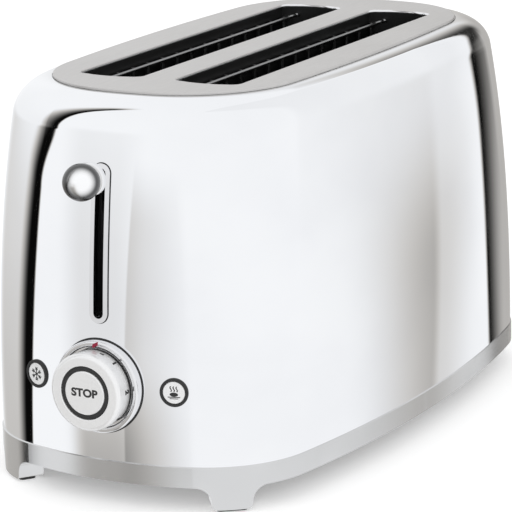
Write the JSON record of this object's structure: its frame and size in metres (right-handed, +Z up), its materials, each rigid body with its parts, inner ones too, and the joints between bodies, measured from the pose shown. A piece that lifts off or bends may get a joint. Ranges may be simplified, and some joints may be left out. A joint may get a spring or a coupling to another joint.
{
  "type": "retro toaster",
  "caption": "Rounded chrome toaster with long bread slots, a side lever with a ball, a browning dial round a stop button, side buttons and a crumb tray.",
  "frame": {"origin": "on the table, under the middle of the object's bounding box, lever ball included", "axes": "+Z up, -Y out of the end with the controls, +X to the right for someone facing the controls"},
  "size_m": [0.207, 0.394, 0.216],
  "materials": {
    "shell_chrome": "mirror polished",
    "band_chrome": "polished",
    "panel_satin": "satin",
    "trim_chrome": "polished",
    "knob_satin": "satin",
    "ball_satin": "satin",
    "dark_ring": "satin",
    "black_plastic": "moulded",
    "sheet_steel": "plain sheet",
    "dark_sheet": "dark heat-proof",
    "wire_steel": "drawn wire",
    "mica": "layered",
    "ribbon": "oxidised",
    "rubber": "matte",
    "board_green": "lacquered",
    "switch_black": "moulded",
    "copper": "lacquered wire",
    "contact_brass": "plain",
    "terminal_cream": "moulded",
    "lead_insulation": "braided sleeve"
  },
  "bodies": {
    "root": {"shell_front_wall": "shell_chrome", "shell_rear_wall": "shell_chrome", "shell_left_wall": "shell_chrome", "shell_right_wall": "shell_chrome", "top_panel": "panel_satin", "base_rim": "band_chrome", "base_plate": "black_plastic", "foot_pads": "rubber", "lever_slot_bezel": "trim_chrome", "lever_guide": "black_plastic", "knob_bezel": "trim_chrome", "stop_guide": "black_plastic", "stop_ring": "dark_ring", "stop_switch": "switch_black", "selector_sensor": "switch_black", "control_bracket": "black_plastic", "control_board": "board_green", "relay": "switch_black", "guide_rods": "trim_chrome", "top_bracket": "sheet_steel", "return_springs": "wire_steel", "front_chassis_plate": "dark_sheet", "rear_chassis_plate": "dark_sheet", "center_divider": "dark_sheet", "magnet_yoke": "sheet_steel", "magnet_coil": "copper", "contact_block": "terminal_cream", "contact_leaves": "contact_brass", "terminal_block": "terminal_cream", "internal_leads": "lead_insulation", "cord_gland": "black_plastic", "base_screws": "sheet_steel", "tray_rails": "sheet_steel", "defrost_ring": "dark_ring", "defrost_switch": "switch_black", "reheat_ring": "dark_ring", "reheat_switch": "switch_black", "left_reflector": "dark_sheet", "left_mica_boards": "mica", "left_heater_windings": "ribbon", "right_reflector": "dark_sheet", "right_mica_boards": "mica", "right_heater_windings": "ribbon"},
    "carriage": {"carriage_plate": "sheet_steel", "lever_arm": "sheet_steel", "lever_collar": "trim_chrome", "lever_ball": "ball_satin", "armature": "sheet_steel", "left_bread_lifter": "sheet_steel", "right_bread_lifter": "sheet_steel"},
    "browning_dial": {"browning_knob": "knob_satin", "selector_rotor": "black_plastic"},
    "stop_key": {"stop_button": "knob_satin"},
    "defrost_key": {"defrost_button": "knob_satin"},
    "reheat_key": {"reheat_button": "knob_satin"},
    "tray": {"crumb_tray": "sheet_steel"},
    "left_outer_guide": {"left_outer_bread_guide": "wire_steel"},
    "left_inner_guide": {"left_inner_bread_guide": "wire_steel"},
    "right_inner_guide": {"right_inner_bread_guide": "wire_steel"},
    "right_outer_guide": {"right_outer_bread_guide": "wire_steel"}
  },
  "joints": [
    {"name": "lever_slide", "type": "slide", "parent": "root", "child": "carriage", "axis": [0, 0, 1], "range_m": [-0.071, 0], "stiffness_N_per_m": 70, "springref_m": 0.11, "deforming": ["return_springs"]},
    {"name": "dial_turn", "type": "hinge", "parent": "root", "child": "browning_dial", "pos_m": [0, -0.1705, 0.065], "axis": [0, 1, 0], "range_deg": [-240, 30]},
    {"name": "stop_push", "type": "slide", "parent": "root", "child": "stop_key", "axis": [0, 1, 0], "range_m": [0, 0.0015], "stiffness_N_per_m": 600, "springref_m": -0.0015},
    {"name": "defrost_push", "type": "slide", "parent": "root", "child": "defrost_key", "axis": [0.2379, 0.9713, 0], "range_m": [0, 0.0015], "stiffness_N_per_m": 400, "springref_m": -0.0015},
    {"name": "reheat_push", "type": "slide", "parent": "root", "child": "reheat_key", "axis": [-0.2379, 0.9713, 0], "range_m": [0, 0.0015], "stiffness_N_per_m": 400, "springref_m": -0.0015},
    {"name": "tray_slide", "type": "slide", "parent": "root", "child": "tray", "axis": [0, 1, 0], "range_m": [0, 0.3]},
    {"name": "left_outer_guide_tilt", "type": "hinge", "parent": "root", "child": "left_outer_guide", "pos_m": [-0.0457, 0.0095, 0.036], "axis": [0, 1, 0], "range_deg": [0, 3.44]},
    {"name": "left_inner_guide_tilt", "type": "hinge", "parent": "root", "child": "left_inner_guide", "pos_m": [-0.0133, 0.0095, 0.036], "axis": [0, 1, 0], "range_deg": [-3.44, 0]},
    {"name": "right_inner_guide_tilt", "type": "hinge", "parent": "root", "child": "right_inner_guide", "pos_m": [0.0133, 0.0095, 0.036], "axis": [0, 1, 0], "range_deg": [0, 3.44]},
    {"name": "right_outer_guide_tilt", "type": "hinge", "parent": "root", "child": "right_outer_guide", "pos_m": [0.0457, 0.0095, 0.036], "axis": [0, 1, 0], "range_deg": [-3.44, 0]}
  ],
  "couplings": [
    {"joint": "left_outer_guide_tilt", "follows": "lever_slide", "rad_per_m": -0.84423},
    {"joint": "left_inner_guide_tilt", "follows": "lever_slide", "rad_per_m": 0.84423},
    {"joint": "right_inner_guide_tilt", "follows": "lever_slide", "rad_per_m": -0.84423},
    {"joint": "right_outer_guide_tilt", "follows": "lever_slide", "rad_per_m": 0.84423}
  ]
}
